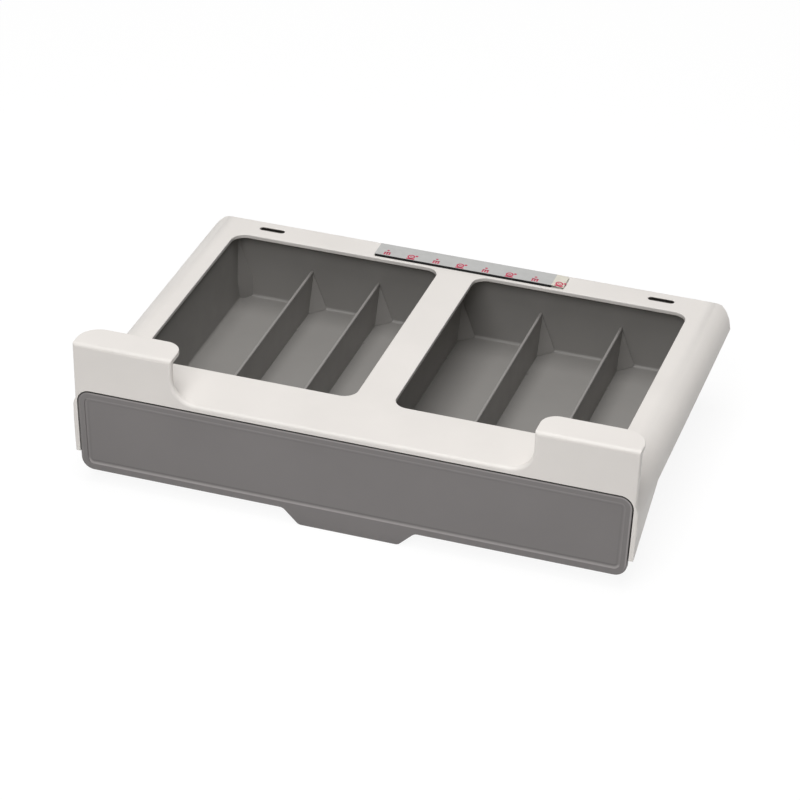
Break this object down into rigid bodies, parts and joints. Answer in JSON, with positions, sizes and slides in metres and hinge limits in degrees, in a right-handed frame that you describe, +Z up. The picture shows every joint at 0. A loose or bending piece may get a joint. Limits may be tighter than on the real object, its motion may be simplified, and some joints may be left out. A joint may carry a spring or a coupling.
{
  "type": "coffee pod drawer",
  "caption": "Shallow under-shelf drawer for coffee pods: a casing that hooks over a shelf's front edge, with windows in its top and a divided tray that slides out on runners.",
  "frame": {"origin": "centre of the casing's flat top face, which lies against the underside of a shelf", "axes": "+X to the right as seen from the front, +Y to the back, +Z up, out of the top face; the drawer slides out along -Y"},
  "size_m": [0.331, 0.22, 0.0908],
  "materials": {
    "white_plastic": "fine satin moulded texture",
    "runner_plastic": "smooth low-friction plastic",
    "screw_steel": "zinc-plated",
    "foam": "soft black foam",
    "liner_film": "thin silky film with small red marks",
    "grey_plastic": "satin moulded texture",
    "front_plastic": "fine satin moulded texture",
    "divider_plastic": "satin moulded texture"
  },
  "bodies": {
    "casing": {"casing": "white_plastic", "left_runner": "runner_plastic", "right_runner": "runner_plastic", "left_runner_screws": "screw_steel", "right_runner_screws": "screw_steel", "adhesive_strip": "foam"},
    "drawer": {"drawer_tray": "grey_plastic", "drawer_front": "front_plastic", "drawer_front_screws": "screw_steel", "divider_1": "divider_plastic", "divider_2": "divider_plastic", "divider_3": "divider_plastic", "divider_4": "divider_plastic", "divider_5": "divider_plastic"},
    "liner": {"release_liner": "liner_film"}
  },
  "joints": [
    {"name": "drawer_slide", "type": "slide", "parent": "casing", "child": "drawer", "axis": [0, -1, 0], "range_m": [0, 0.16]},
    {"name": "liner_lift", "type": "slide", "parent": "casing", "child": "liner", "axis": [0, 0, 1], "range_m": [0, 0.03]}
  ]
}
